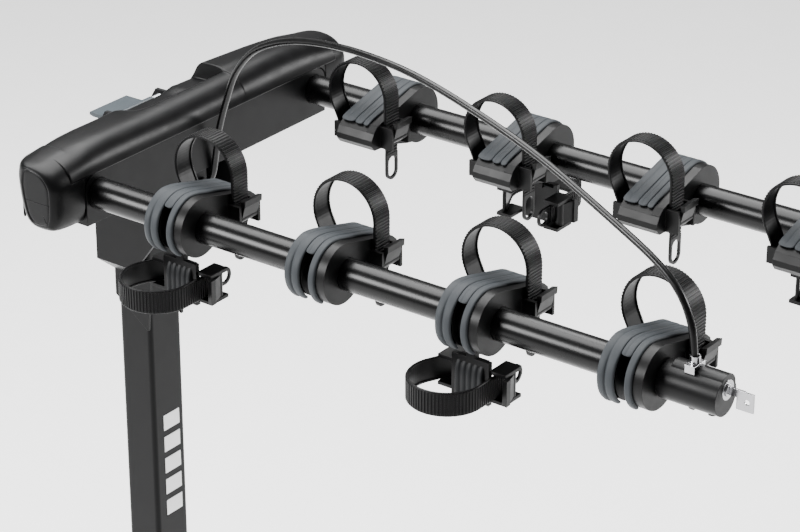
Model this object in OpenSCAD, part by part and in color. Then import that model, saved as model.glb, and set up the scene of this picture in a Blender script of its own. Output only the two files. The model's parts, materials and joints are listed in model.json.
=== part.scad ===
// Hitch mounted bike rack with two hanging arms for four bikes.
// Millimetres. The origin is the centre of the hitch pin hole in the receiver shank.
// +Z is up, +Y points to the vehicle, +X is across it. The arms reach back along -Y.

/* [Receiver] */
// Width of the square receiver shank
shank_w = 50.8; // [50:0.1:52]
// Wall of the receiver shank
shank_wall = 4.8; // [3:0.1:6]
// Diameter of the hitch pin hole
pin_hole_d = 16.2; // [12:0.1:17]
// Length of the shank in front of the pin hole
shank_front = 78; // [50:1:120]
// Length of the shank behind the pin hole
shank_back = 172; // [165:1:175]

/* [Mast] */
// Distance from the pin hole back to the middle of the mast
mast_back = 215; // [212:1:220]
// Width of the mast tube
post_w = 50.8; // [50:0.1:51.2]
// Depth of the mast tube
post_d = 44.5; // [42:0.5:46]
// Wall of the mast tube
post_wall = 3; // [2:0.5:4]
// Corner radius of the mast tube
post_r = 5; // [3:1:8]

/* [Arms] */
// Height of the arm axes over the pin hole
arm_height = 760; // [740:10:800]
// Distance between the two arm axes
arm_spacing = 348; // [340:2:356]
// Outside diameter of the arm tubes
arm_d = 31.75; // [31:0.05:31.8]
// Wall of the arm tubes
arm_wall = 2.5; // [2:0.1:3]
// Distance from the pin hole back to the fold shaft
fold_back = 277; // [274:1:280]
// Distance from the pin hole back to the end of the arm tubes
arm_end = 1010; // [1000:2:1020]

/* [Head] */
// Width of the head housing between its end caps
head_w = 424; // [420:2:430]
// Distance from the fold shaft to the front face of the head
head_front = 34; // [33:1:35]
// Diameter of the fold shaft
fold_shaft_d = 16; // [14:1:16]

/* [Cradles] */
// Cradles on each arm
cradle_count = 4; // [1:1:4]
// Distance from the pin hole back to the first cradle
cradle_first = 428; // [424:1:434]
// Spacing of the cradles along the arm
cradle_pitch = 175; // [150:1:176]
// Length of a cradle along the arm
cradle_len = 46; // [44:1:48]
// Distance from the arm axis in to the middle of the strap
strap_in = 50; // [49:1:52]
// Width of the ladder strap
strap_w = 24; // [21:1:24]
// Thickness of the ladder strap
strap_t = 2.6; // [2.4:0.1:2.8]
// Middle radius of the strap hoop
hoop_r = 36.5; // [36:0.5:38]

/* [Hidden] */
$fn = 48;
SIDES = [-1, 1];
SIDE_NAMES = ["left", "right"];
CAGES = [[0, 0], [0, 2], [1, 1], [1, 3]];

arm_x = arm_spacing / 2;
arm_r = arm_d / 2;
mast_y = -mast_back;
fold_y = -fold_back;
front_y = fold_y - head_front;
half_w = post_w / 2;
half_d = post_d / 2;
post_top = arm_height - 110;
tilt_z = 14;
pull_pin_z = 56;
pull_pin_y = mast_y + 4;
// Heights of the head, from the arm axes
panel_low = arm_height - 31;
panel_high = arm_height + 22;
lip_z = arm_height + 23;
ridge_z = arm_height + 50;
shoulder_r = ridge_z - lip_z;
window_x = arm_x + 19;
latch_y = fold_y + 56;
latch_z = arm_height + 14;
latch_x = -12;
// Cradle outline round the arm axis: middle of the cheeks and their radii
cheek = [-6, 2];
cheek_r = 29;
pad_t = 4;
ring_in = 20.4;
ring_out = 27.4;
ring_w = 9.2;
pad_z = 20;
hoop_y = 11;
hoop_h = 17;
run = 0.05;
lever_y = -33.5;
lever_h = -22;
black_cheek = 10;
cage_in = -18;
cage_z = -60;
cap_start = -arm_end + 32;
cap_end = -arm_end - 28;
cap_r = 18;
lock_x = -arm_x + 3;
lock_z = arm_height + 6;
ferrule_y = 4 - arm_end;
black = "#1c1c1e";
steel = "#3a3a3c";
grey = "#787e82";
chrome = "#c8c8cc";

// Route of the lock cable, from its grommet under the head to the ferrule
CABLE = [[0, -292, 704], [0, -303, 707], [0, -312, 720], [0, -317, 744], [-2, -324, 774], [-5, -338, 812],
    [-10, -356, 848], [-17, -384, 878], [-26, -418, 898], [-36, -458, 913], [-48, -506, 924],
    [-62, -562, 931], [-80, -632, 933], [-100, -712, 925], [-124, -807, 908], [-150, -909, 878],
    [-162, -958, 860], [-169, -985, 842], [-173, -1000, 818], [-174, -1005, 790]];
cable_d = 7;
cable_steps = 3;
cable_sides = 8;

// Helpers ------------------------------------------------------------------------------------

// A rod along X, centred on its middle
module rod_x(r, len) {
    rotate([0, 90, 0])
        cylinder(r = r, h = len, center = true);
}

// A rod along Y, centred on its middle
module rod_y(r, len) {
    rotate([90, 0, 0])
        cylinder(r = r, h = len, center = true);
}

// An outline in Y and Z, given its thickness along X and centred on X
module side_plate(points, thick) {
    rotate([90, 0, 90])
        linear_extrude(thick, center = true)
            polygon(points);
}

// An outline in X and Z, given its thickness along Y and centred on Y
module front_plate(points, thick) {
    rotate([90, 0, 0])
        linear_extrude(thick, center = true)
            polygon(points);
}

// A box between two corners
module box(low, high) {
    translate(low)
        cube(high - low);
}

// A rounded rectangle standing along Z
module round_post(w, d, r, h) {
    union() {
        translate([-w / 2, -d / 2 + r, 0])
            cube([w, d - 2 * r, h]);
        translate([-w / 2 + r, -d / 2, 0])
            cube([w - 2 * r, d, h]);
        for (x = [-1, 1], y = [-1, 1])
            translate([x * (w / 2 - r), y * (d / 2 - r), 0])
                cylinder(r = r, h = h);
    }
}

// Puts children on an arm: x points in from the arm axis, z up from it, y stays along the arm
module on_arm(side) {
    translate([side * arm_x, 0, arm_height])
        mirror([side > 0 ? 1 : 0, 0, 0])
            children();
}

// Puts children at the middle of cradle k
module at_cradle(side, k) {
    on_arm(side)
        translate([0, -cradle_first - k * cradle_pitch, 0])
            children();
}

// Puts strap parts on the saddle of a cradle: x across the strap, y along the arm, z off the pad
module on_saddle() {
    translate([strap_in, 0, pad_z])
        children();
}

// Puts strap parts on an anti-sway cage, where the hoop reaches out sideways
module on_cage() {
    translate([cage_in, 0, cage_z])
        rotate([0, -90, 0])
            children();
}

// Receiver and tilting foot -------------------------------------------------------------------

module receiver_shank() {
    inner = shank_w - 2 * shank_wall;
    color(black)
        difference() {
            translate([-shank_w / 2, -shank_back, -shank_w / 2])
                cube([shank_w, shank_back + shank_front, shank_w]);
            translate([-inner / 2, -shank_back - 1, -inner / 2])
                cube([inner, shank_back + shank_front + 2, inner]);
            rod_x(pin_hole_d / 2, shank_w + 2);
        }
}

module tilt_bracket() {
    gap = half_w + 0.4;
    outline = [[-140, -25.4], [-140, 20], [-178, 78], [-240, 78], [-246, 60], [-246, -4], [-226, -25.4]];
    color(black)
        difference() {
            union() {
                for (x = SIDES)
                    translate([x * (gap + 3), 0, 0])
                        side_plate(outline, 6);
                box([-gap - 6, -168, -31.4], [gap + 6, -140, -25.4]);
            }
            translate([0, mast_y, tilt_z])
                rod_x(6.4, 80);
            translate([-gap - 3, pull_pin_y, pull_pin_z])
                rod_x(5.6, 20);
        }
}

module tilt_pivot_bolt() {
    color(chrome)
        translate([0, mast_y, tilt_z])
            union() {
                rod_x(6.35, 78);
                translate([-37, 0, 0])
                    rotate([0, 90, 0])
                        cylinder(d = 22, h = 8, center = true, $fn = 6);
                translate([37.5, 0, 0])
                    rotate([0, 90, 0])
                        cylinder(d = 22, h = 9, center = true, $fn = 6);
            }
}

module pull_pin_housing() {
    start = -half_w - 6.4;
    color(black)
        translate([start - 13, pull_pin_y, pull_pin_z])
            difference() {
                rod_x(11, 26);
                translate([2, 0, 0])
                    rod_x(8, 22.2);
                rod_x(5.1, 40);
            }
}

module pull_pin() {
    tip = -half_w - 1;
    color(chrome)
        translate([0, pull_pin_y, pull_pin_z])
            union() {
                translate([tip - 21, 0, 0])
                    rod_x(5, 42);
                translate([tip - 9, 0, 0])
                    rod_x(7.6, 3);
                translate([tip - 43, 0, 0])
                    rod_x(12, 12);
            }
}

// Mast ----------------------------------------------------------------------------------------

module mast_post() {
    bottom = -8;
    color(black)
        difference() {
            translate([0, mast_y, bottom])
                round_post(post_w, post_d, post_r, post_top - bottom);
            translate([0, mast_y, bottom - 1])
                round_post(post_w - 2 * post_wall, post_d - 2 * post_wall, post_r - 2, post_top - bottom + 2);
            translate([0, mast_y, tilt_z])
                rod_x(11.05, post_w + 2);
            translate([-half_w, pull_pin_y, pull_pin_z])
                rod_x(5.4, 20);
        }
}

module pivot_bush() {
    color(chrome)
        translate([0, mast_y, tilt_z])
            difference() {
                rod_x(11, post_w - 0.2);
                rod_x(6.35 + run, post_w + 2);
            }
}

module neck_bracket() {
    top = panel_low + 12;
    low_top = arm_height - 50;
    back = mast_y + half_d;
    wide = 56.5;
    slim = half_w + 4;
    front_top = front_y + 8;
    waist = arm_height - 150;
    funnel = arm_height - 172;
    color(black)
        difference() {
            intersection() {
                translate([0, mast_y, 0])
                    front_plate([[-wide, top], [-wide, waist], [-slim, funnel], [-slim, 500],
                        [slim, 500], [slim, funnel], [wide, waist], [wide, top]], 200);
                side_plate([[back, top], [fold_y + 51, top], [fold_y + 51, low_top], [front_top, low_top],
                    [front_top, arm_height - 76], [mast_y - half_d - 8, arm_height - 152],
                    [mast_y - half_d, arm_height - 236], [back, arm_height - 203]], 140);
            }
            translate([0, back - 4 - 100, 0])
                front_plate([[4 - wide, top + 9], [4 - wide, waist + 1.7], [0.1 - half_w, funnel + 1.7],
                    [0.1 - half_w, 490], [half_w - 0.1, 490], [half_w - 0.1, funnel + 1.7],
                    [wide - 4, waist + 1.7], [wide - 4, top + 9]], 200);
            translate([0, mast_y, 480])
                round_post(post_w + 0.2, post_d + 0.2, post_r, post_top - 480 + 0.1);
        }
}

module head_frame() {
    beam_y = fold_y + 51;
    color(steel)
        difference() {
            union() {
                box([-144, beam_y, arm_height - 19], [144, beam_y + 28, arm_height + 2]);
                for (x = SIDES)
                    mirror([x > 0 ? 0 : 1, 0, 0])
                        translate([0, 0, arm_height - 19])
                            linear_extrude(21)
                                polygon([[140, beam_y], [140, beam_y + 26], [151, beam_y + 26],
                                    [205.5, beam_y - 20], [205.5, beam_y - 26], [200, beam_y - 26],
                                    [195, beam_y - 15], [178, beam_y]]);
                for (x = SIDES)
                    translate([x * 203, 0, 0])
                        side_plate([[beam_y - 18, arm_height - 19], [beam_y - 18, arm_height + 13],
                            [fold_y + 8, arm_height + 22], [fold_y - 16, arm_height + 14],
                            [fold_y - 16, arm_height - 19]], 6);
                for (x = [latch_x - 40, latch_x + 40])
                    translate([x, 0, 0])
                        side_plate([[beam_y, arm_height + 1], [beam_y + 28, arm_height + 1],
                            [latch_y + 9, latch_z + 10], [latch_y - 7, latch_z + 10]], 4);
            }
            box([-140, beam_y + 3, arm_height - 16], [140, beam_y + 25, arm_height - 1]);
            box([-14, beam_y - 1, arm_height - 20], [14, beam_y + 22, arm_height + 7]);
            translate([0, fold_y, arm_height])
                rod_x(fold_shaft_d / 2 + 0.02, 420);
            translate([latch_x, latch_y, latch_z])
                rod_x(4.02, 100);
        }
}

// Side outline of the head housing; trim takes a wall off every face
module head_outline(trim) {
    rotate([90, 0, 90])
        linear_extrude(head_w + 60, center = true)
            difference() {
                polygon([[front_y + trim, panel_low - 1 + trim], [front_y + trim, ridge_z - trim],
                    [fold_y + 21, ridge_z - trim], [mast_y - 8, lip_z - 1 - trim],
                    [mast_y + 27 - trim, lip_z - 20 - trim], [mast_y + 27 - trim, panel_low - 1 + trim]]);
                difference() {
                    translate([front_y - 2, lip_z])
                        square([shoulder_r + 2, shoulder_r + 2]);
                    translate([front_y + shoulder_r, lip_z])
                        circle(r = shoulder_r - trim, $fn = 64);
                }
            }
}

// Front outline of the head housing, whose ends fall away a little
module head_front_outline(trim) {
    half = head_w / 2 + 26 - trim;
    low = panel_low - 1 + trim;
    z = arm_height - trim;
    translate([0, fold_y, 0])
        front_plate([[-half, low + 8], [-188, low], [188, low], [half, low + 8], [half, z + 24],
            [half - 4, z + 39], [head_w / 2 - 8, z + 44], [176, z + 49], [150, z + 50], [-150, z + 50],
            [-176, z + 48], [8 - head_w / 2, z + 44], [4 - half, z + 39], [-half, z + 24]], 300);
}

// Plan outline of the head housing, with its back corners cut off
module head_plan(trim) {
    wide = head_w / 2 + 30;
    back = mast_y + 27 - trim;
    linear_extrude(1000)
        polygon([[-wide, front_y - 20], [wide, front_y - 20], [wide, -267 - 1.31 * trim],
            [148 - 0.37 * trim, back], [0.37 * trim - 148, back], [-wide, -267 - 1.31 * trim]]);
}

module head_shell(trim) {
    intersection() {
        head_outline(trim);
        head_front_outline(trim);
        head_plan(trim);
    }
}

// The recess over the release lever, behind the crest of the housing; grow leaves room for its walls
module head_recess(grow) {
    z = arm_height - grow;
    translate([0, fold_y - 1 - grow + 100, 0])
        front_plate([[-84 - grow, z + 70], [-84 - grow, z + 52], [-52 - grow, z + 30], [60 + grow, z + 30],
            [60 + grow, z + 70]], 200);
}

module head_cover() {
    clear_back = fold_y + 49.5;
    color(black)
        difference() {
            intersection() {
                head_shell(0);
                box([-head_w / 2, front_y - 20, 0], [head_w / 2, 0, 1000]);
            }
            difference() {
                head_shell(3.5);
                head_recess(3.5);
            }
            head_recess(0);
            box([-window_x, front_y - 20, panel_low - 20], [window_x, front_y + 30, lip_z]);
            box([-window_x, front_y - 20, panel_low - 20], [window_x, clear_back, panel_low + 6]);
            box([-58, clear_back - 1, panel_low - 20], [58, mast_y + 24, panel_low + 6]);
            box([latch_x - 43, latch_y - 15, latch_z - 9], [latch_x + 43, mast_y + 40, arm_height + 90]);
        }
}

// The cap on one end of the head, drawn at the right and mirrored for the left
module head_end(side) {
    edge = head_w / 2 + 0.3;
    color(black)
        mirror([side > 0 ? 0 : 1, 0, 0])
            difference() {
                intersection() {
                    head_shell(0);
                    linear_extrude(1000)
                        polygon([[edge, front_y - 20], [edge, -240], [edge + 10, -249], [edge + 25, -266],
                            [edge + 25, front_y + 5], [edge + 20, front_y], [edge + 10, front_y - 20]]);
                }
                intersection() {
                    head_shell(3);
                    linear_extrude(1000)
                        polygon([[edge - 1, front_y + 3], [edge - 1, -240], [edge + 8, -251],
                            [edge + 22, -268], [edge + 22, front_y + 6], [edge + 18, front_y + 3]]);
                }
            }
}

module head_end_cap_left() {
    head_end(-1);
}

module head_end_cap_right() {
    head_end(1);
}

module fold_shaft() {
    color(chrome)
        translate([0, fold_y, arm_height])
            rod_x(fold_shaft_d / 2, 411);
}

module latch_pin() {
    color(chrome)
        translate([latch_x, latch_y, latch_z])
            rod_x(4, 86);
}

module release_lever() {
    color(grey)
        translate([latch_x, latch_y, latch_z])
            difference() {
                union() {
                    translate([-7.5, 0, 0])
                        rod_x(8, 59);
                    side_plate([[0, -7.5], [38, -7.5], [43, -6], [43, -3], [0, -3]], 58);
                    translate([10, 0, 0])
                        side_plate([[-3, -4], [-9, 0], [-13.5, -4], [-13.5, -12], [-8, -12]], 20);
                }
                rod_x(4 + run, 90);
                translate([30, 0, 0])
                    rod_x(8.6, 15);
            }
}

module latch_spring() {
    wire = 2.4;
    color(chrome)
        translate([latch_x, latch_y, latch_z])
            union() {
                for (i = [0:4])
                    translate([25 + i * wire * 0.98, 0, 0])
                        rotate([0, 90, 0])
                            rotate_extrude()
                                translate([6.2, 0])
                                    circle(r = wire / 2);
                translate([25 + 4 * wire * 0.98, 8, -6.2])
                    rod_y(wire / 2, 16);
            }
}

// Folding yoke and arms -----------------------------------------------------------------------

module yoke_frame() {
    color(steel)
        difference() {
            union() {
                translate([0, fold_y, arm_height])
                    rod_x(14, 384);
                for (x = SIDES)
                    translate([x * arm_x, fold_y - 19, arm_height])
                        rod_y(arm_r - arm_wall - 0.1, 26);
                box([-150, fold_y - 17, arm_height - 12], [150, fold_y - 11, arm_height + 12]);
                box([-8, fold_y - 19, arm_height - 64], [8, fold_y - 9, arm_height - 8]);
            }
            translate([0, fold_y, arm_height])
                rod_x(fold_shaft_d / 2 + run, 400);
            translate([0, fold_y - 14, arm_height - 56])
                rod_y(4.6, 20);
        }
}

module yoke_cover() {
    r = 14;
    back = fold_y + 12;
    depth = back - front_y;
    color(black)
        difference() {
            translate([0, back, 0])
                rotate([90, 0, 0])
                    linear_extrude(depth)
                        union() {
                            translate([1 - window_x, panel_low])
                                square([2 * window_x - 2, panel_high - panel_low - r]);
                            translate([1 - window_x + r, panel_low])
                                square([2 * window_x - 2 - 2 * r, panel_high - panel_low]);
                            for (x = SIDES)
                                translate([x * (window_x - 1 - r), panel_high - r])
                                    circle(r = r);
                        }
            box([3.5 - window_x, front_y + 3.5, panel_low + 3], [window_x - 3.5, back + 1, panel_high - r]);
            box([16 - window_x, front_y + 3.5, panel_low + 3], [window_x - 16, back + 1, panel_high - 3]);
            for (x = SIDES)
                translate([x * arm_x, front_y + 10, arm_height])
                    rod_y(arm_r + 0.15, 60);
            box([-12, front_y + 9, panel_low - 1], [12, back + 1, panel_low + 4]);
            translate([0, fold_y, arm_height])
                rod_x(14.2, 420);
        }
}

module arm_tube(side) {
    start = fold_y - 14.6;
    color(black)
        on_arm(side)
            translate([0, (start - arm_end) / 2, 0])
                difference() {
                    rod_y(arm_r, arm_end + start);
                    rod_y(arm_r - arm_wall, arm_end + start + 2);
                }
}

module left_arm_tube() {
    arm_tube(-1);
}

module right_arm_tube() {
    arm_tube(1);
}

module right_arm_cap() {
    color(black)
        on_arm(1)
            union() {
                translate([0, -arm_end + 12, 0])
                    rod_y(arm_r - arm_wall - 0.05, 24);
                translate([0, -arm_end - 3, 0])
                    rod_y(arm_r + 1.5, 6);
            }
}

module lock_cap() {
    color(black)
        difference() {
            union() {
                translate([-arm_x, (cap_start + cap_end) / 2, arm_height])
                    rod_y(cap_r, cap_start - cap_end);
                translate([lock_x, (cap_start - 8 + cap_end) / 2, lock_z + 2])
                    rod_y(13, cap_start - 8 - cap_end);
                translate([-arm_x, cap_end + 12, arm_height - 18])
                    cylinder(r = 4, h = 5, center = true);
            }
            translate([-arm_x, -arm_end + 20, arm_height])
                rod_y(arm_r + 0.1, 40.2);
            translate([lock_x, cap_end, lock_z])
                rod_y(9.45, 50);
            box([-arm_x - 12, ferrule_y - 5.2, arm_height + 16.4],
                [-arm_x + 20, ferrule_y + 5.2, arm_height + 30]);
        }
}

module lock_barrel() {
    color(chrome)
        difference() {
            translate([lock_x, cap_end + 12, lock_z])
                rod_y(9.4, 25);
            translate([lock_x, cap_end + 8, lock_z])
                rod_y(6 + run, 24.4);
        }
}

module lock_plug() {
    color(chrome)
        difference() {
            translate([lock_x, cap_end + 8.6, lock_z])
                rod_y(6, 21.2);
            translate([lock_x, cap_end + 3, lock_z])
                cube([2.6, 28, 8.6], center = true);
        }
}

module lock_key() {
    color(chrome)
        difference() {
            union() {
                translate([lock_x, cap_end - 1.5, lock_z])
                    cube([2, 33, 7.6], center = true);
                translate([lock_x, cap_end - 18, lock_z - 6])
                    cube([2, 17, 18], center = true);
            }
            translate([lock_x, cap_end - 20, lock_z - 6])
                rod_x(2.6, 10);
        }
}

// Smooth point at t along the stretch from b to c, with neighbours a and d
function smooth(a, b, c, d, t) =
    0.5 * (2 * b + (c - a) * t + (2 * a - 5 * b + 4 * c - d) * t * t
        + (3 * b - a - 3 * c + d) * t * t * t);

last = len(CABLE) - 1;

function cable_point(i, t) =
    smooth(CABLE[max(i - 1, 0)], CABLE[i], CABLE[i + 1], CABLE[min(i + 2, last)], t);

function unit(v) = v / norm(v);

module lock_cable() {
    path = [for (i = [0:last - 1], s = [0:cable_steps - 1]) cable_point(i, s / cable_steps), CABLE[last]];
    n = len(path);
    rings = [for (i = [0:n - 1])
        let (t = unit(path[min(i + 1, n - 1)] - path[max(i - 1, 0)]))
        let (u = unit(cross(t, [1, 0, 0])), v = cross(t, u))
        for (s = [0:cable_sides - 1])
            path[i] + cable_d / 2 * (cos(360 * s / cable_sides) * u + sin(360 * s / cable_sides) * v)];
    walls = [for (i = [0:n - 2], s = [0:cable_sides - 1])
        [i * cable_sides + s, i * cable_sides + (s + 1) % cable_sides,
            (i + 1) * cable_sides + (s + 1) % cable_sides, (i + 1) * cable_sides + s]];
    ends = [[for (s = [cable_sides - 1:-1:0]) s], [for (s = [0:cable_sides - 1]) (n - 1) * cable_sides + s]];
    color(black)
        polyhedron(points = rings, faces = concat(walls, ends));
}

module cable_ferrule() {
    color(chrome)
        difference() {
            union() {
                box([-arm_x - 9, ferrule_y - 5, arm_height + 16.6],
                    [-arm_x + 9, ferrule_y + 5, arm_height + 24]);
                translate([-arm_x, ferrule_y, arm_height + 27])
                    cylinder(r = 4.8, h = 8, center = true);
            }
            translate([-arm_x, ferrule_y, arm_height + 31])
                cylinder(r = 3.6, h = 12, center = true);
        }
}

module cable_grommet() {
    color(black)
        translate([0, fold_y - 14, arm_height - 56])
            difference() {
                union() {
                    rod_y(4.5, 10.2);
                    translate([0, -6.6, 0])
                        rod_y(7.5, 3);
                }
                rod_y(3.55, 30);
            }
}

// Cradles -------------------------------------------------------------------------------------

// The two side cheeks that hold a strap's end or its buckle, with the pin between them
module strap_ears(y1, y2, h1, h2, pin_y, pin_h) {
    for (x = SIDES)
        translate([x * (strap_w / 2 + 2.25), (y1 + y2) / 2, (h1 + h2) / 2])
            cube([3.5, abs(y2 - y1), h2 - h1], center = true);
    translate([0, pin_y, pin_h])
        rod_x(2, strap_w + 6);
}

module cradle_body() {
    end_y = -cradle_len / 2;
    difference() {
        union() {
            translate([cheek[0], 0, cheek[1]])
                rod_y(cheek_r, cradle_len);
            front_plate([[-6, 31], [0, 30.5], [70, 12.4], [77, 7], [81, 0], [81, -6], [76, -12], [48, -14],
                [20, -22], [-6, -27]], cradle_len);
            translate([cheek[0], end_y + black_cheek / 2, cheek[1]])
                rod_y(cheek_r + 1.5, black_cheek);
            translate([0, end_y + black_cheek / 2, 0])
                front_plate([[-6, 32.5], [0, 32], [70, 13.9], [77, 8], [77, -4], [48, -13], [-6, -28.5]],
                    black_cheek);
        }
        rod_y(arm_r + 0.1, cradle_len + 2);
        rotate([90, 0, 0])
            difference() {
                cylinder(r = ring_out + 0.5, h = ring_w + 1, center = true);
                cylinder(r = ring_in - 0.5, h = ring_w + 2, center = true);
            }
        difference() {
            union() {
                box([-60, -ring_w / 2 - 0.5, -60], [-14, ring_w / 2 + 0.5, 24]);
                box([-60, -ring_w / 2 - 0.5, -60], [16, ring_w / 2 + 0.5, -14]);
            }
            rod_y(ring_in - 0.5, 20);
        }
    }
}

module cradle() {
    cradle_body();
    on_saddle() {
        strap_ears(-cradle_len / 2 + 0.1, -38, -32, -8, lever_y, lever_h);
        strap_ears(cradle_len / 2 - 0.1, 38, -33, -16, 32, -28);
    }
}

module cradles(side) {
    color(black)
        for (k = [0:cradle_count - 1])
            at_cradle(side, k)
                cradle();
}

module left_cradles() {
    cradles(-1);
}

module right_cradles() {
    cradles(1);
}

module pad() {
    r = cheek_r + 0.1;
    difference() {
        union() {
            translate([cheek[0], 0, cheek[1]])
                difference() {
                    rod_y(r + pad_t - 0.1, cradle_len);
                    rod_y(r, cradle_len + 2);
                    box([0, -30, -60], [60, 30, 60]);
                    rotate([0, 35, 0])
                        box([-5, -30, -60], [60, 30, 0]);
                }
            front_plate([[-6, 35], [0, 34.5], [70, 16.6], [76, 12], [78, 8], [76.9, 7.1],
                [70.2, 12.5], [0, 30.6], [-6, 31.1]], cradle_len);
        }
        box([-60, -cradle_len, -60], [100, black_cheek - cradle_len / 2 + 0.1, 60]);
        box([-60, -ring_w / 2 - 1, -60], [-14, ring_w / 2 + 1, 24]);
        box([-60, -ring_w / 2 - 1, -60], [16, ring_w / 2 + 1, -14]);
    }
}

module pads(side) {
    color(grey)
        for (k = [0:cradle_count - 1])
            at_cradle(side, k)
                pad();
}

module left_pads() {
    pads(-1);
}

module right_pads() {
    pads(1);
}

// Side outline of a ladder strap: from its anchor over the hoop and down through the buckle
module strap_outline(low) {
    tilt = 25;
    leg = 31;
    outer = hoop_r + strap_t / 2;
    inner = hoop_r - strap_t / 2;
    arc = [for (i = [0:41]) -tilt + i * (180 + tilt) / 41];
    foot = leg * [-sin(tilt), -cos(tilt)];
    start = [cos(tilt), -sin(tilt)];
    translate([hoop_y, hoop_h])
        polygon(concat(
            [outer * start + foot],
            [for (a = arc) outer * [cos(a), sin(a)]],
            [[-outer, low - hoop_h], [-inner, low - hoop_h]],
            [for (i = [0:41]) inner * [cos(arc[41 - i]), sin(arc[41 - i])]],
            [inner * start + foot]));
}

// One ladder strap with its tail
module strap(tail_h, slot) {
    tail_top = -40;
    union() {
        rotate([90, 0, 90])
            linear_extrude(strap_w, center = true)
                strap_outline(tail_top);
        strap_tail(hoop_y - hoop_r, tail_top + 0.2, tail_h, slot);
    }
}

// The tail end of a strap, with its finger hole drawn out into a slot
module strap_tail(y, top, low, slot) {
    w = strap_w * 0.8;
    r = w / 2 - 3.4;
    mid = low + w / 2;
    difference() {
        union() {
            if (top > mid)
                translate([-w / 2, y - strap_t / 2, mid])
                    cube([w, strap_t, top - mid]);
            translate([0, y, mid])
                rod_y(w / 2, strap_t);
        }
        translate([0, y, mid])
            rod_y(r, strap_t + 2);
        if (slot > 0) {
            translate([0, y, mid + slot])
                rod_y(r, strap_t + 2);
            translate([-r, y - 3, mid])
                cube([2 * r, 6, slot]);
        }
    }
}

module straps(side) {
    color(black)
        for (k = [0:cradle_count - 1])
            at_cradle(side, k)
                on_saddle()
                    strap(-72, 12);
}

module left_straps() {
    straps(-1);
}

module right_straps() {
    straps(1);
}

// The thumb lever of a ratchet buckle, hinged between the cheeks
module buckle_lever() {
    color(black)
        difference() {
            union() {
                translate([0, lever_y, lever_h])
                    rod_x(4.4, strap_w - 0.6);
                side_plate([[lever_y + 3, lever_h - 2], [lever_y - 3, lever_h - 3], [-40, -12], [-42, -4],
                    [-39.5, -2.5], [-37, -8], [-34, -15]], strap_w - 1);
                side_plate([[-38.4, -8], [-42.5, -8], [-43, -1], [-37, -2.5], [-38.4, -5.5]], 26);
            }
            translate([0, lever_y, lever_h])
                rod_x(2 + run, strap_w + 2);
        }
}

module main_lever(side, k) {
    at_cradle(side, k)
        on_saddle()
            buckle_lever();
}

// Anti-sway cages -----------------------------------------------------------------------------

module cage(side, k) {
    color(black)
        at_cradle(side, k)
            union() {
                difference() {
                    rod_y(ring_out, ring_w);
                    rod_y(ring_in, ring_w + 2);
                }
                box([-14, -ring_w / 2, cage_z + 18], [-6, ring_w / 2, -24]);
                on_cage() {
                    translate([2, 0, -6.5])
                        cube([44, 42, 5], center = true);
                    strap_ears(-20.5, -38, -32, -6, lever_y, lever_h);
                    strap_ears(20.5, 38, -33, -6, 32, -28);
                }
            }
}

module cage_pad(side, k) {
    color("#3c3e40")
        at_cradle(side, k)
            on_cage()
                translate([3, 0, -1.95])
                    cube([46, 32, 3.9], center = true);
}

module cage_strap(side, k) {
    color(black)
        at_cradle(side, k)
            on_cage()
                strap(-50, 0);
}

module cage_lever(side, k) {
    at_cradle(side, k)
        on_cage()
            buckle_lever();
}

// Every node, drawn alone or with the rest ----------------------------------------------------

receiver_shank();
tilt_bracket();
tilt_pivot_bolt();
pull_pin_housing();
pull_pin();
mast_post();
pivot_bush();
neck_bracket();
head_frame();
head_cover();
head_end_cap_left();
head_end_cap_right();
fold_shaft();
latch_pin();
release_lever();
latch_spring();
yoke_frame();
yoke_cover();
left_arm_tube();
right_arm_tube();
right_arm_cap();
lock_cap();
lock_barrel();
lock_plug();
lock_key();
lock_cable();
cable_ferrule();
cable_grommet();
left_cradles();
right_cradles();
left_pads();
right_pads();
left_straps();
right_straps();
for (i = [0, 1], k = [0:3])
    main_lever(SIDES[i], k);
for (c = CAGES) {
    tag = str(c[1] + 1);
    name = SIDE_NAMES[c[0]];
    cage(SIDES[c[0]], c[1]);
    cage_pad(SIDES[c[0]], c[1]);
    cage_strap(SIDES[c[0]], c[1]);
    cage_lever(SIDES[c[0]], c[1]);
}
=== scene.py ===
# Looks of the hitch mounted bike rack: shell, pads, straps, cable, finishes, light and camera.
# Metres, in the row frame: the origin is the hitch pin hole, +Z up, +Y to the vehicle.
import json
import math

import bmesh
import bpy
from mathutils import Matrix, Vector


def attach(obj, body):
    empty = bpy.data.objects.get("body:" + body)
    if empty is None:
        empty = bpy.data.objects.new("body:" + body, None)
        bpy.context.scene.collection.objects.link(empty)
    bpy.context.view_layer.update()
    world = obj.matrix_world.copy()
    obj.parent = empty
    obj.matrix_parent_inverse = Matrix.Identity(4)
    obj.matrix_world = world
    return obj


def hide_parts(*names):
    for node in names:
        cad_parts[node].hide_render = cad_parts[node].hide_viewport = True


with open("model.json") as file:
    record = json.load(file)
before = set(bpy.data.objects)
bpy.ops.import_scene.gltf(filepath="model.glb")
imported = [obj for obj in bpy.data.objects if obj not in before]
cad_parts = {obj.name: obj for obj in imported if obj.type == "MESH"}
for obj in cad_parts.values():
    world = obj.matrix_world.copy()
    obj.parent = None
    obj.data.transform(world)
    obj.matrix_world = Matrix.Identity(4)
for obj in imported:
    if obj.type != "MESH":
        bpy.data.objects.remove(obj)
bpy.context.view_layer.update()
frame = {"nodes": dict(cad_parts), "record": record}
scene = bpy.context.scene
nodes = frame["nodes"]

MM = 0.001
ARM_X = 0.174
ARM_Z = 0.760
ARM_Z_MM = 760
FIRST = -0.428
PITCH = 0.175
CRADLES = 4
SIDES = (("left", -1), ("right", 1))
CAGES = (("left", -1, 0), ("left", -1, 2), ("right", 1, 1), ("right", 1, 3))

# Camera ---------------------------------------------------------------------------------------

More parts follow.
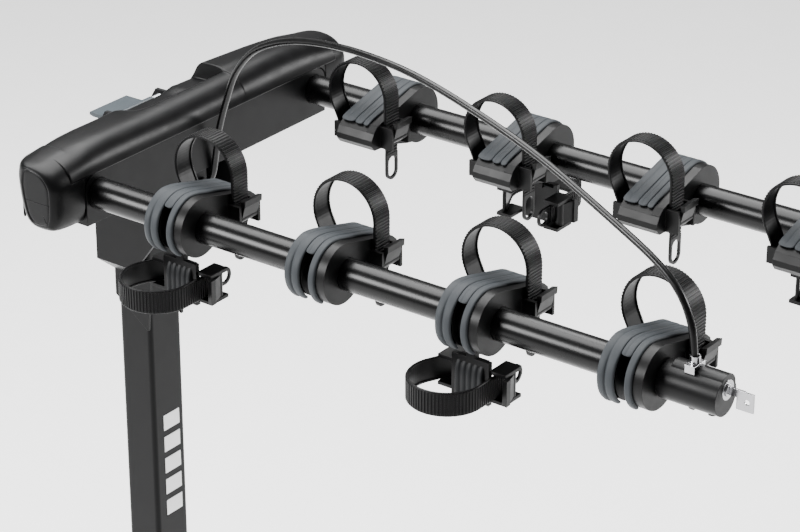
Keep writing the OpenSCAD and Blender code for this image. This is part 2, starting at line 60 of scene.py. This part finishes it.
camera = bpy.data.objects.new("camera", bpy.data.cameras.new("camera"))
scene.collection.objects.link(camera)
camera.data.lens = 127.9
camera.data.sensor_width = 36
camera.data.clip_start = 0.05
camera.data.clip_end = 40
camera.location = (-2.0766, -2.1093, 1.9139)
camera.rotation_mode = "QUATERNION"
camera.rotation_quaternion = Vector((0.72355, 0.54073, -0.42906)).to_track_quat("-Z", "Y")
scene.camera = camera

# Materials ------------------------------------------------------------------------------------


class Nodes:
    """A material's nodes, with short calls to add and link them."""

    def __init__(self, name):
        self.material = bpy.data.materials.new(name)
        self.material.use_nodes = True
        self.tree = self.material.node_tree
        self.shader = self.tree.nodes["Principled BSDF"]

    def add(self, kind, **values):
        node = self.tree.nodes.new(kind)
        for key, value in values.items():
            if key in node.inputs:
                node.inputs[key].default_value = value
            else:
                setattr(node, key, value)
        return node

    def link(self, a, b):
        self.tree.links.new(a, b)

    def noise(self, scale, detail=3.0):
        coords = self.add("ShaderNodeTexCoord")
        node = self.add("ShaderNodeTexNoise", Scale=scale, Detail=detail, Roughness=0.5)
        self.link(coords.outputs["Object"], node.inputs["Vector"])
        return node.outputs["Fac"]

    def ramp(self, fac, low, high):
        """Spreads the middle of a noise over low to high."""
        node = self.add("ShaderNodeMapRange")
        node.inputs["To Min"].default_value = low
        node.inputs["To Max"].default_value = high
        node.inputs["From Min"].default_value = 0.3
        node.inputs["From Max"].default_value = 0.7
        self.link(fac, node.inputs["Value"])
        return node.outputs["Result"]


# Noise per metre: patches of colour and smears of roughness
MOTTLE_SCALE = 14
SMEAR_SCALE = 55


def finish(name, color, rough, specular, metal=0.0, grain=900, bump=0.1, depth=0.0001,
           spread=0.04, mottle=0.12, edge=0.0006):
    """A surface with mottled colour, uneven roughness, a fine grain and softly rounded edges."""
    n = Nodes(name)
    s = n.shader
    s.inputs["Metallic"].default_value = metal
    s.inputs["Specular IOR Level"].default_value = specular
    s.inputs["Roughness"].default_value = rough
    s.inputs["Base Color"].default_value = (*color, 1)
    mix = n.add("ShaderNodeMix", data_type="RGBA")
    mix.inputs["A"].default_value = (*[c * (1 - mottle) for c in color], 1)
    mix.inputs["B"].default_value = (*[min(1, c * (1 + mottle)) for c in color], 1)
    n.link(n.ramp(n.noise(MOTTLE_SCALE, 4), 0, 1), mix.inputs["Factor"])
    n.link(mix.outputs["Result"], s.inputs["Base Color"])
    uneven = n.ramp(n.noise(SMEAR_SCALE, 4), rough - spread, rough + spread)
    n.link(uneven, s.inputs["Roughness"])
    node = n.add("ShaderNodeBump", Strength=bump, Distance=depth)
    n.link(n.noise(grain), node.inputs["Height"])
    if edge:
        rounded = n.add("ShaderNodeBevel", samples=4, Radius=edge)
        n.link(rounded.outputs["Normal"], node.inputs["Normal"])
    n.link(node.outputs["Normal"], s.inputs["Normal"])
    return n.material


powder = finish("powder_coat", (0.0013, 0.0013, 0.0015), 0.38, 0.11, grain=700, bump=0.22)
gloss = finish("arm_gloss", (0.0008, 0.0008, 0.0009), 0.27, 0.17, grain=1600, bump=0.02, spread=0.01,
               edge=0)
housing = finish("housing_plastic", (0.0013, 0.0013, 0.0015), 0.37, 0.13, grain=2200, bump=0.25,
                 depth=0.00005)
molded = finish("moulded_plastic", (0.0012, 0.0012, 0.0013), 0.40, 0.14, grain=1500, bump=0.3,
                depth=0.00006)
dark_frame = finish("frame_steel", (0.003, 0.003, 0.0033), 0.5, 0.15, grain=600, bump=0.3)
zinc = finish("zinc_plate", (0.42, 0.43, 0.45), 0.32, 0.5, metal=1.0, grain=420, bump=0.15, mottle=0.2)
nickel = finish("nickel_plate", (0.36, 0.36, 0.37), 0.2, 0.5, metal=1.0, grain=500, bump=0.05)
pad_grey = finish("pad_rubber", (0.027, 0.0305, 0.034), 0.58, 0.16, grain=2600, bump=0.35,
                  depth=0.00006, mottle=0.08)
pad_dark = finish("pad_rubber_dark", (0.0075, 0.0082, 0.0090), 0.56, 0.16, grain=2600, bump=0.35,
                  depth=0.00006)
strap_black = finish("strap_elastomer", (0.0013, 0.0013, 0.0015), 0.38, 0.14, grain=1800, bump=0.2,
                     depth=0.00005)
lever_grey = finish("lever_plastic", (0.028, 0.036, 0.042), 0.40, 0.3, grain=1600, bump=0.25,
                    depth=0.00005)
vinyl = finish("cable_vinyl", (0.0009, 0.0009, 0.001), 0.28, 0.22, grain=700)
white_mark = finish("white_film", (0.75, 0.75, 0.75), 0.4, 0.4, bump=0.05, mottle=0.02, edge=0)

SLOT_FINISH = {
    "powder_coat": powder, "frame_steel": dark_frame, "zinc": zinc, "housing": housing,
    "lever_grey": lever_grey, "arm_gloss": gloss, "molded": molded, "lock_steel": nickel,
    "cable_jacket": vinyl, "pad_grey": pad_grey, "pad_dark": pad_dark, "strap_rubber": strap_black}
for part in frame["record"]["subparts"]:
    node = nodes[part["node"]]
    node.data.materials.clear()
    node.data.materials.append(SLOT_FINISH[part["material_slot"]])

# Mesh helpers ---------------------------------------------------------------------------------


def mesh_object(name, verts, faces, material, smooth=True):
    """A piece with its faces turned outwards, in the scene."""
    mesh = bpy.data.meshes.new(name)
    mesh.from_pydata([tuple(v) for v in verts], [], faces)
    mesh.validate()
    bm = bmesh.new()
    bm.from_mesh(mesh)
    bmesh.ops.recalc_face_normals(bm, faces=bm.faces)
    bm.to_mesh(mesh)
    bm.free()
    mesh.materials.append(material)
    if smooth:
        mesh.polygons.foreach_set("use_smooth", [True] * len(mesh.polygons))
    piece = bpy.data.objects.new(name, mesh)
    scene.collection.objects.link(piece)
    return piece


def loft(rings, closed=True, caps=(True, True)):
    """Vertices and quads through a list of rings with the same number of points."""
    count = len(rings[0])
    verts = [v for ring in rings for v in ring]
    faces = []
    for i in range(len(rings) - 1):
        for j in range(count if closed else count - 1):
            k = (j + 1) % count
            faces.append((i * count + j, i * count + k, (i + 1) * count + k, (i + 1) * count + j))
    if caps[0]:
        faces.append(tuple(range(count)))
    if caps[1]:
        faces.append(tuple((len(rings) - 1) * count + j for j in range(count)))
    return verts, faces


def box_mesh(low, high):
    """Vertices and faces of a box between two corners in millimetres."""
    corners = [tuple((low, high)[(i >> k) & 1][k] * MM for k in range(3)) for i in range(8)]
    return corners, [(0, 1, 3, 2), (4, 6, 7, 5), (0, 4, 5, 1), (2, 3, 7, 6), (0, 2, 6, 4),
                     (1, 5, 7, 3)]


def modifier(piece, kind, **values):
    made = piece.modifiers.new(kind.lower(), kind)
    for key, value in values.items():
        setattr(made, key, value)


def place(piece, body, slot, *replaced):
    """Attaches a piece to its body and hides the CAD nodes that it replaces; the slot argument is not used.
    """
    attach(piece, body)
    if replaced:
        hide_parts(*replaced)


def smooth_points(points, steps):
    """Points along a smooth line through the given ones."""
    out = []
    last = len(points) - 1
    for i in range(last):
        a, b = Vector(points[max(i - 1, 0)]), Vector(points[i])
        c, d = Vector(points[i + 1]), Vector(points[min(i + 2, last)])
        for s in range(steps):
            t = s / steps
            square = (2 * a - 5 * b + 4 * c - d) * t * t
            cube = (3 * b - a - 3 * c + d) * t * t * t
            out.append(0.5 * (2 * b + (c - a) * t + square + cube))
    return out + [Vector(points[last])]


def between(table, x):
    """Value at x in a table of pairs, on straight lines between its entries."""
    if x <= table[0][0]:
        return table[0][1]
    for (x0, v0), (x1, v1) in zip(table, table[1:]):
        if x <= x1:
            t = (x - x0) / (x1 - x0)
            return v0 + (v1 - v0) * t
    return table[-1][1]


# Lock cable -----------------------------------------------------------------------------------

# The cable's middle line, in an arc from the grommet under the head to the ferrule on the left arm
ROUTE = [(0, -292, 704), (0, -303, 707), (0, -312, 720), (0, -317, 744), (-2, -324, 774),
         (-5, -338, 812), (-10, -356, 848), (-17, -384, 878), (-26, -418, 898), (-36, -458, 913),
         (-48, -506, 924), (-62, -562, 931), (-80, -632, 933), (-100, -712, 925), (-124, -807, 908),
         (-150, -909, 878), (-162, -958, 860), (-169, -985, 842), (-173, -1000, 818),
         (-174, -1005, 790)]
CABLE_RADIUS = 0.0035
line = smooth_points([[c * MM for c in p] for p in ROUTE], 8)
curve = bpy.data.curves.new("lock_cable_line", "CURVE")
curve.dimensions = "3D"
curve.bevel_depth = CABLE_RADIUS
curve.bevel_resolution = 6
spline = curve.splines.new("POLY")
spline.points.add(len(line) - 1)
for point, place_at in zip(spline.points, line):
    point.co = (*place_at, 1)
curve.materials.append(vinyl)
spline.use_smooth = True
cable = bpy.data.objects.new("lock_cable_jacket", curve)
scene.collection.objects.link(cable)
place(cable, "arms", "cable_jacket", "lock_cable")

# Head housing ---------------------------------------------------------------------------------

# The front face in Y, and the lip's height over the arm axes, in millimetres
FRONT = -311
LIP = 23
# Tables over X: the ridge's height, how deep the top is recessed (0 to 1), and the recess's floor
RIDGE = [(-212, 43.5), (-195, 45.5), (-176, 48), (-150, 49), (-86, 48), (-70, 48), (59, 49), (60, 53),
         (140, 51.5), (176, 49), (195, 46), (212, 43.5)]
RECESS = [(-86, 0), (-78, 0.12), (-64, 0.8), (-56, 1), (59.4, 1), (60.4, 0)]
TROUGH = [(-60, 30), (12, 30), (24, 34), (60, 33)]


def section(x):
    """Side outline of the shell at x, from the front lip over the ridge to the back's lower edge."""
    back = -188 - max(0, abs(x) - 148) * 0.84
    ridge = between(RIDGE, x)
    low = between(TROUGH, x)
    crest = min(ridge, between([(0, 49), (110, 51.5)], x))
    points = [(FRONT + 3.2, LIP - 2.4), (FRONT + 0.8, LIP - 1.8), (FRONT - 0.6, LIP - 0.6),
              (FRONT - 0.2, LIP + 1)]
    for i in range(1, 10):
        t = math.pi / 2 * i / 9
        points.append((FRONT + 30 * (1 - math.cos(t)), LIP + (crest - LIP) * math.sin(t)))
    flat = between([(-120, 0), (60, 10), (190, 2), (212, 0)], x)
    plain = [(-277, (crest + ridge) / 2), (-271, ridge), (flat - 262, ridge - 0.4),
             (flat - 257, ridge - 1.6), (flat - 252, ridge - 6.5), (-240, ridge - 15 + flat / 2),
             (-232, 28)]
    cut = [(-278.5, crest - 0.4), (-277, crest - 3), (-275.6, low + 3), (-272, low), (-258, low),
           (-244, low), (-234, low - 1)]
    t = between(RECESS, x)
    points += [(p[0] + (q[0] - p[0]) * t, p[1] + (q[1] - p[1]) * t) for p, q in zip(plain, cut)]
    points += [(-223, 21), (-208, 13), (-194, 6), (-189.5, 2), (-188, -4), (-188, -27), (-189.5, -32)]
    return [(min(y, back), z + ARM_Z_MM) for y, z in points]


stations = [-212, -211, -205, -195, -185, -175, -163, -150, -130, -110, -98, -90, -86, -82, -78, -74,
            -69, -64, -60, -56, -55, -54, -44, -30, -15, 0, 12, 24, 30, 31, 32, 40, 50, 57, 58.8, 59.4,
            60.4, 61, 63, 70, 90, 110, 130, 150, 163, 175, 185, 195, 205, 211, 212]
rings = []
for x in stations:
    rings.append([(x * MM, y * MM, z * MM) for y, z in section(x)])
verts, faces = loft(rings, closed=False, caps=(False, False))


# The opening over the release lever, in metres
SLOT_X = -0.012
SLOT_HALF = 0.043
SLOT_Y = (-0.236, -0.191)
SLOT_LOWEST = 0.762


def in_slot(face):
    """Tells the faces that the opening over the release lever leaves out."""
    middle = sum((Vector(verts[i]) for i in face), Vector()) / len(face)
    across = abs(middle.x - SLOT_X) < SLOT_HALF
    return across and SLOT_Y[0] < middle.y < SLOT_Y[1] and middle.z > SLOT_LOWEST


faces = [f for f in faces if not in_slot(f)]
shell = mesh_object("head_shell", verts, faces, housing)
modifier(shell, "SOLIDIFY", thickness=0.003, offset=-1)
modifier(shell, "SUBSURF", levels=2, render_levels=2)
place(shell, "mast", "housing", "head_cover")

# The corners of the front face, beside the arm roots
CHEEK_ROUND = 15
for name, side in SIDES:
    rows = []
    for i in range(9):
        z = 5 + i * 2.2
        bulge = max(0.0, z - 8)
        curved = 192.6 - (CHEEK_ROUND - math.sqrt(max(0.0, CHEEK_ROUND ** 2 - bulge * bulge)))
        inner = max(curved, 178.5)
        rows.append([(side * x * MM, y * MM, (ARM_Z_MM + z) * MM) for x, y in (
            (inner + 1.5, FRONT + 10), (inner, FRONT + 4), (inner + 0.6, FRONT + 0.8), (inner + 2.0, FRONT),
            (195, FRONT), (196, FRONT + 4))])
    verts, faces = loft(rows, closed=False, caps=(False, False))
    cheek = mesh_object(f"head_front_{name}", verts, faces, housing)
    modifier(cheek, "SUBSURF", levels=1, render_levels=2)
    place(cheek, "mast", "housing")


# End caps: a sleeve over the shell's end that closes on a flat face, with a parting line across it
def cap_outline(ridge, inset, back):
    """Side outline of an end cap. The back edge moves forward as the cap closes."""
    pts = [(FRONT + inset, 2), (FRONT + inset, LIP - 6)]
    rise = ridge - LIP + 6 - inset * 0.7
    reach = min(33 - inset * 0.3, back - 9 - FRONT - inset)
    for i in range(1, 9):
        t = math.pi / 2 * i / 8
        pts.append((FRONT + inset + reach * (1 - math.cos(t)), LIP - 6 + rise * math.sin(t)))
    top = ridge - inset * 0.7
    pts += [(min(-266, back - 8), top), (min(-258, back - 4), top - 1.2),
            (min(-251, back - 1.5), top - 6), (min(-240, back), top - 15.5),
            (back, min(22, top - 19)), (back - 1.5, 6), (back - 4.5, -8),
            (back - 8, -19 + inset * 0.3), (back - 15, -27 + inset * 0.7), (-288, -29 + inset),
            (-302 + inset * 0.3, -28 + inset), (FRONT + 3.5 + inset, -22 + inset * 0.5),
            (FRONT + 0.8 + inset, -12)]
    return [(y, z + ARM_Z_MM) for y, z in pts]


# Rings of an end cap: X, how far the outline is drawn in, the ridge's height, and the back edge
CAP_RINGS = [(193.3, 1.6, 46.2, -228), (193.3, -0.3, 46.2, -226), (194.2, -0.5, 46.1, -226),
             (203, -0.5, 45.0, -234), (211.4, -0.4, 43.9, -242), (218, 0.2, 43.2, -247),
             (225, 0.9, 42.8, -252), (230.6, 2.4, 42.6, -257), (234, 4.6, 43, -261),
             (235.8, 7.4, 43.6, -264.5), (236, 8.8, 43.8, -266), (235.2, 9.6, 43.8, -266.8),
             (235.1, 10.4, 44, -267.6), (235.8, 11.4, 44, -268.6), (235.8, 15, 43, -272.5)]

for name, side in SIDES:
    rings = []
    for x, inset, ridge, back in CAP_RINGS:
        outline = cap_outline(ridge, inset, back)
        rings.append([(side * x * MM, y * MM, z * MM) for y, z in outline])
    verts, faces = loft(rings, caps=(False, True))
    cap = mesh_object(f"head_end_{name}", verts, faces, housing)
    modifier(cap, "SUBSURF", levels=2, render_levels=2)
    place(cap, "mast", "housing", f"head_end_cap_{name}")
    seam = box_mesh((side * 235, -300, ARM_Z_MM + 3.2), (side * 236.1, -270, ARM_Z_MM + 3.9))
    split = mesh_object(f"head_end_seam_{name}", *seam, dark_frame, smooth=False)
    place(split, "mast", "housing")

# Plain white bars on the mast in place of its printed mark, with their lowest edge and their step
BAR_LOW = 284
BAR_STEP = 27
for i in range(5):
    low = BAR_LOW + BAR_STEP * i
    box = box_mesh((-10, -237.75, low), (16, -237.1, low + 19))
    bar = mesh_object(f"mast_bar_{i + 1}", *box, white_mark, smooth=False)
    modifier(bar, "BEVEL", width=0.0002, segments=1)
    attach(bar, "mast")

# Rubber pads ----------------------------------------------------------------------------------

# Radius of a pad's round part, height of its ribs, and the most that its thin lower end stands up
PAD_ROUND = 29.2
RIB_HEIGHT = 0.95
PAD_TIP = 2.2
# The point of the profile that the middle band begins at
MIDDLE_START = 13


def pad_profile():
    """Outline of a pad across the arm: points, outward directions and how far its ribs stand."""
    out = []
    for i in range(19):
        a = math.radians(238 - i * (238 - 94) / 18)
        rib = 1.0 if i < 10 else max(0.22, 1 - (i - 9) / 6)
        away = (math.cos(a), math.sin(a))
        out.append(((-6 + PAD_ROUND * away[0], 2 + PAD_ROUND * away[1]), away, rib))
    slope = [(2, 30.2), (12, 27.7), (24, 24.6), (36, 21.5), (48, 18.4), (60, 15.3), (68, 13.2),
             (73.5, 11.2)]
    for i, p in enumerate(slope):
        q = slope[min(i + 1, len(slope) - 1)]
        r = slope[max(i - 1, 0)]
        d = Vector((q[0] - r[0], q[1] - r[1])).normalized()
        out.append((p, (-d[1], d[0]), 0.3))
    return out


# Across a pad: distance along the arm, thickness, and share of the rib's height
PAD_FAR = [(23, 0.2, 0), (23, 3.0, 0), (22.4, 3.5, 0), (21.2, 3.5, 0.2), (20.4, 3.5, 1), (16.4, 3.5, 1),
           (15.4, 3.5, 0), (14.6, 3.5, -1), (13.8, 3.5, 0), (12.8, 3.5, 1), (7.4, 3.5, 1), (6.2, 3.4, 0.5),
           (5.3, 2.8, 0), (5.3, 0.2, 0)]
PAD_NEAR = [(-5.3, 0.2, 0), (-5.3, 2.8, 0), (-6.0, 3.5, 0.5), (-7.0, 3.5, 1), (-11.2, 3.5, 1),
            (-12.3, 3.4, 0.4), (-12.9, 2.6, 0), (-12.9, 0.2, 0)]
PAD_MIDDLE = [(5.6, 0.2, 0), (5.6, 3.4, 0.4), (3.2, 3.5, 0.9), (1.4, 3.5, 0.9), (0.6, 3.5, -0.6),
              (-0.2, 3.5, 0.9), (-3.2, 3.5, 0.9), (-5.6, 3.4, 0.4), (-5.6, 0.2, 0)]


def pad_mesh(name, side):
    """A pad of two ribbed bands round the arm and one between them on the slope."""
    profile = pad_profile()
    verts, faces = [], []

    def strip(rows, start):
        base = len(verts)
        line = profile[start:]
        ring = len(rows)
        for i, (p, d, rib) in enumerate(line):
            last = i == len(line) - 1
            for y, t, share in rows:
                h = t + RIB_HEIGHT * share * rib
                if last:
                    h = min(h, PAD_TIP)
                verts.append((side * -(p[0] + d[0] * h) * MM, y * MM, (p[1] + d[1] * h) * MM))
        for i in range(len(line) - 1):
            for j in range(ring - 1):
                a = base + i * ring + j
                faces.append((a, a + 1, a + ring + 1, a + ring))
            a = base + i * ring
            faces.append((a, a + ring - 1, a + 2 * ring - 1, a + ring))
        for i in (0, len(line) - 1):
            faces.append(tuple(base + i * ring + j for j in range(ring)))

    strip(PAD_FAR, 0)
    strip(PAD_NEAR, 0)
    strip(PAD_MIDDLE, MIDDLE_START)
    return mesh_object(name, verts, faces, pad_grey)


# Ladder straps --------------------------------------------------------------------------------

# The hoop's middle and radius, half the strap's width, and where its straight leg stands
HOOP = (11, 17)
HOOP_R = 36.5
HALF = 12
LEG = HOOP[0] - HOOP_R
# Half the tail's width, half its thickness, and the rim round its finger hole
TAIL = 9.6
TAIL_HALF = 1.3
TAIL_RIM = 3.0
# Where the teeth begin along the strap, and the step between them
TOOTH_START = 30.0
TOOTH_STEP = 3.3


def strap_path(low):
    """Middle line of a strap as points across the arm's length and up, from its anchor to its tail."""
    tilt = math.radians(25)
    end = (HOOP[0] + HOOP_R * math.cos(tilt), HOOP[1] - HOOP_R * math.sin(tilt))
    out = [(end[0] - math.sin(tilt) * s, end[1] - math.cos(tilt) * s) for s in (31, 20, 10)]
    for i in range(41):
        a = -tilt + (math.pi + tilt) * i / 40
        out.append((HOOP[0] + HOOP_R * math.cos(a), HOOP[1] + HOOP_R * math.sin(a)))
    z = HOOP[1]
    while z > low + 2:
        z -= 3
        out.append((LEG, max(z, low)))
    return out


def strap_mesh(name, low, slot_length):
    """A ladder strap: a thin band with side rails inside, teeth across its outside, and a slotted tail."""
    points = strap_path(low + TAIL + slot_length + 8)
    dense = []
    for a, b in zip(points, points[1:]):
        n = max(1, round(math.dist(a, b) / 2.6))
        dense += [(a[0] + (b[0] - a[0]) * i / n, a[1] + (b[1] - a[1]) * i / n) for i in range(n)]
    dense.append(points[-1])
    run = [0]
    for a, b in zip(dense, dense[1:]):
        run.append(run[-1] + math.dist(a, b))
    total = run[-1]
    verts, faces = [], []

    def at(i):
        a, b = dense[max(i - 1, 0)], dense[min(i + 1, len(dense) - 1)]
        d = Vector((b[0] - a[0], b[1] - a[1])).normalized()
        return dense[i], d, Vector((-d[1], d[0]))

    def width(i):
        return HALF - (HALF - TAIL) * min(1, max(0, (12 - total + run[i]) / 6))

    rings = []
    for i in range(len(dense)):
        (y, z), d, n = at(i)
        w = width(i)
        cross = [(-w, 1.2), (-w, -0.5), (-w + 0.5, -0.9), (w - 0.5, -0.9), (w, -0.5), (w, 1.2),
                 (w - 0.4, 1.5), (w - 1.9, 1.5), (w - 2.2, 0.4), (-w + 2.2, 0.4), (-w + 1.9, 1.5),
                 (-w + 0.4, 1.5)]
        rings.append([(x * MM, (y + n[0] * h) * MM, (z + n[1] * h) * MM) for x, h in cross])
    v, f = loft(rings)
    verts += v
    faces += f
    # Teeth across the outside, left out near the anchor and at the tail's finger hole
    tooth = [(-0.95, -0.8), (-0.55, -1.75), (0.55, -1.75), (0.95, -0.8)]
    s = TOOTH_START
    while s < total - 3:
        i = min(range(len(run)), key=lambda k: abs(run[k] - s))
        (y, z), d, n = at(i)
        off = s - run[i]
        y, z = y + d[0] * off, z + d[1] * off
        w = width(i) - 1.2
        base = len(verts)
        for x in (-w, w):
            for along, out in tooth:
                verts.append((x * MM, (y + d[0] * along + n[0] * out) * MM,
                              (z + d[1] * along + n[1] * out) * MM))
        faces += [(base, base + 1, base + 2, base + 3), (base + 4, base + 7, base + 6, base + 5)]
        faces += [(base + j, base + 4 + j, base + 5 + j, base + 1 + j) for j in range(3)]
        faces.append((base, base + 3, base + 7, base + 4))
        s += TOOTH_STEP
    # The tail's rounded end with its finger hole
    w = TAIL
    hole = TAIL - TAIL_RIM
    mid = low + w
    outer, inner = [], []
    for i in range(25):
        a = math.pi + math.pi * i / 24
        outer.append((w * math.cos(a), mid + w * math.sin(a)))
        inner.append((hole * math.cos(a), mid + hole * math.sin(a)))
    top = mid + slot_length
    for i in range(25):
        a = math.pi * i / 24
        inner.append((hole * math.cos(a), top + hole * math.sin(a)))
    high = top + 10.5
    outer += [(w, mid + (high - mid) * i / 6) for i in range(1, 7)]
    outer += [(w - 2 * w * i / 12, high) for i in range(1, 13)]
    outer += [(-w, high - (high - mid) * i / 7) for i in range(1, 8)]
    base = len(verts)
    count = len(outer)
    for edge in (outer, inner):
        for y0 in (-TAIL_HALF, TAIL_HALF):
            verts += [(x * MM, (LEG + y0) * MM, z * MM) for x, z in edge]
    for j in range(count):
        k = (j + 1) % count
        faces += [(base + j, base + k, base + count + k, base + count + j),
                  (base + 2 * count + j, base + 2 * count + k, base + 3 * count + k, base + 3 * count + j),
                  (base + j, base + k, base + 2 * count + k, base + 2 * count + j),
                  (base + count + j, base + count + k, base + 3 * count + k, base + 3 * count + j)]
    return mesh_object(name, verts, faces, strap_black, smooth=False)


def on_saddle(side, k):
    """Places a strap's own axes on the saddle of cradle k."""
    return Matrix.Translation((side * (ARM_X - 0.050), FIRST - k * PITCH, ARM_Z + 0.020))


def on_cage(side, k):
    """Places a strap's own axes on an anti-sway cage, with the hoop reaching out sideways."""
    turn = Matrix(((0, 0, side, 0), (0, 1, 0, 0), (-side, 0, 0, 0), (0, 0, 0, 1)))
    return Matrix.Translation((side * (ARM_X + 0.018), FIRST - k * PITCH, ARM_Z - 0.060)) @ turn


def copies(source, jobs):
    """Copies a piece and its subdivision to each place, then removes the first piece."""
    for name, matrix, body, slot, replaced in jobs:
        piece = bpy.data.objects.new(name, source.data)
        scene.collection.objects.link(piece)
        piece.matrix_world = matrix
        for m in source.modifiers:
            new = piece.modifiers.new(m.name, m.type)
            new.levels, new.render_levels = m.levels, m.render_levels
        place(piece, body, slot, *replaced)
    bpy.data.objects.remove(source)


source = strap_mesh("strap_main", -72, 10)
copies(source, [(f"{n}_strap_{k + 1}", on_saddle(s, k), "arms", "strap_rubber", [f"{n}_straps"])
                for n, s in SIDES for k in range(CRADLES)])
source = strap_mesh("strap_cage", -50, 0)
copies(source, [(f"{n}_cage_strap_{k + 1}_ladder", on_cage(s, k), f"{n}_cage_{k + 1}", "strap_rubber",
                 [f"{n}_cage_strap_{k + 1}"]) for n, s, k in CAGES])
for n, s in SIDES:
    source = pad_mesh(f"pad_{n}", s)
    modifier(source, "SUBSURF", levels=1, render_levels=2)
    jobs = []
    for k in range(CRADLES):
        where = Matrix.Translation((s * ARM_X, FIRST - k * PITCH, ARM_Z))
        jobs.append((f"{n}_pad_{k + 1}", where, "arms", "pad_grey", [f"{n}_pads"]))
    copies(source, jobs)

# Half the width of a cage pad, and its thickness
CAGE_PAD_HALF = 16
CAGE_PAD_DEPTH = 4.2


def cage_pad_mesh(name, side):
    """A ribbed pad for an anti-sway cage, curving in towards the arm at its top."""
    path = [(-80, -1.5), (-79, -0.4), (-76, 0), (-66, 0), (-56, 0), (-50, -0.5), (-45, -1.8),
            (-41, -4.2), (-38.6, -6.8), (-37.6, -8.6)]
    rings = []
    for z, depth in path:
        front = []
        for i in range(41):
            y = -CAGE_PAD_HALF + 0.8 * i
            swell = abs(math.sin(math.pi * i / 8)) ** 0.5
            edge = min(1, (CAGE_PAD_HALF - abs(y)) / 1.5)
            front.append((y, depth - 1.7 * (1 - swell) - 1.2 * (1 - edge)))
        back = depth - CAGE_PAD_DEPTH
        ring = front + [(CAGE_PAD_HALF, back), (-CAGE_PAD_HALF, back)]
        rings.append([(-side * (z + 60) * MM, y * MM, out * MM) for y, out in ring])
    verts, faces = loft(rings)
    return mesh_object(name, verts, faces, pad_dark)


for n, s, k in CAGES:
    source = cage_pad_mesh(f"cage_pad_{n}", s)
    copies(source, [(f"{n}_cage_pad_{k + 1}_ribbed", on_cage(s, k), f"{n}_cage_{k + 1}", "pad_dark",
                     [f"{n}_cage_pad_{k + 1}"])])

# Floor and light ------------------------------------------------------------------------------

FLOOR_Z = -0.44
FLOOR_HALF = 14
corners = [(x * FLOOR_HALF, y * FLOOR_HALF, FLOOR_Z) for x, y in ((-1, -1), (1, -1), (1, 1), (-1, 1))]
paper = finish("floor_paper", (0.93, 0.93, 0.93), 0.7, 0.1, grain=40, bump=0.02, mottle=0.01, edge=0)
glow = paper.node_tree.nodes["Principled BSDF"]
glow.inputs["Emission Color"].default_value = (1, 1, 1, 1)
glow.inputs["Emission Strength"].default_value = 0.45
floor = mesh_object("floor", corners, [(0, 1, 2, 3)], paper)


def area(name, where, target, size, power):
    """A white area light that shines from one point towards another."""
    data = bpy.data.lights.new(name, "AREA")
    data.shape = "RECTANGLE"
    data.size, data.size_y = size
    data.energy = power
    light = bpy.data.objects.new(name, data)
    scene.collection.objects.link(light)
    light.location = where
    light.rotation_mode = "QUATERNION"
    light.rotation_quaternion = (Vector(target) - Vector(where)).to_track_quat("-Z", "Y")


area("overhead", (0.5, 0.3, 3.2), (0, -0.5, 0.6), (2.6, 2.6), 330)
area("left", (-3.6, 2.2, 2.7), (0, -0.5, 0.75), (2.4, 1.5), 520)
area("front", (3.2, -3.2, 2.1), (0, -0.4, 0.75), (1.8, 1.3), 210)

world = bpy.data.worlds.new("studio")
scene.world = world
world.use_nodes = True
world.node_tree.nodes["Background"].inputs["Color"].default_value = (1, 1, 1, 1)
world.node_tree.nodes["Background"].inputs["Strength"].default_value = 0.3
